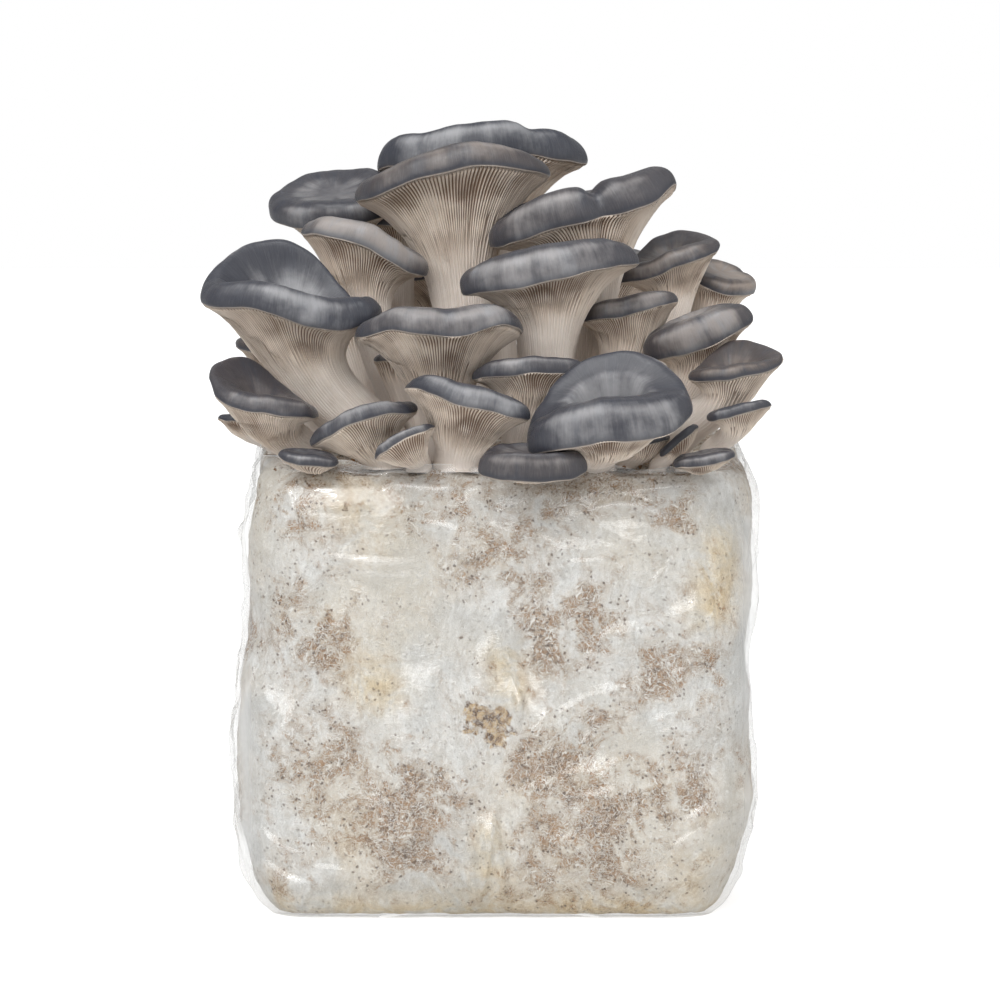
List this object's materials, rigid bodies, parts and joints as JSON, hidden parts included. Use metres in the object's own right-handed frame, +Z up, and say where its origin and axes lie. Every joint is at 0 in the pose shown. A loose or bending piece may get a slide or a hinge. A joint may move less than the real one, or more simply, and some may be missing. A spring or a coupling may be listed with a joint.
{
  "type": "mushroom grow kit",
  "caption": "Cluster of oyster mushrooms standing out of the open mouth of a clear film bag, filled by a white block of straw and sawdust bound with mycelium.",
  "frame": {"origin": "on the surface the kit stands on, under the middle of the block", "axes": "+Z up; -Y out of the kit's front, where the cluster leans out; +X to the right seen from the front"},
  "size_m": [0.2244, 0.1862, 0.3115],
  "materials": {
    "film": "clear polypropylene film, creased",
    "mycelium": "straw and sawdust matted with white mycelium",
    "mushroom": "soft satin, grey caps, pale gills and stems"
  },
  "bodies": {
    "root": {"grow_bag": "film", "substrate_block": "mycelium", "mushroom_crown_back": "mushroom", "mushroom_crown_front": "mushroom", "mushroom_upper_right": "mushroom", "mushroom_upper_left_back": "mushroom", "mushroom_upper_middle_back": "mushroom", "mushroom_upper_left": "mushroom", "mushroom_left_big": "mushroom", "mushroom_left_back": "mushroom", "mushroom_left_low": "mushroom", "mushroom_left_dark": "mushroom", "mushroom_left_bud": "mushroom", "mushroom_inner_left": "mushroom", "mushroom_centre": "mushroom", "mushroom_centre_left": "mushroom", "mushroom_centre_small": "mushroom", "mushroom_right_centre": "mushroom", "mushroom_right_middle": "mushroom", "mushroom_right_upper": "mushroom", "mushroom_far_right_back": "mushroom", "mushroom_right_lower": "mushroom", "mushroom_right_small": "mushroom", "mushroom_right_bud": "mushroom", "mushroom_under_right": "mushroom", "mushroom_under_right_dark": "mushroom", "mushroom_front_right_big": "mushroom", "mushroom_front_low": "mushroom", "mushroom_front_left_centre": "mushroom", "mushroom_front_left": "mushroom", "mushroom_front_left_small": "mushroom", "mushroom_rear_left": "mushroom", "mushroom_rear_middle": "mushroom", "mushroom_rear_right": "mushroom", "mushroom_rear_far_right": "mushroom", "mushroom_rear_low_left": "mushroom", "mushroom_rear_low_middle": "mushroom"}
  },
  "joints": []
}
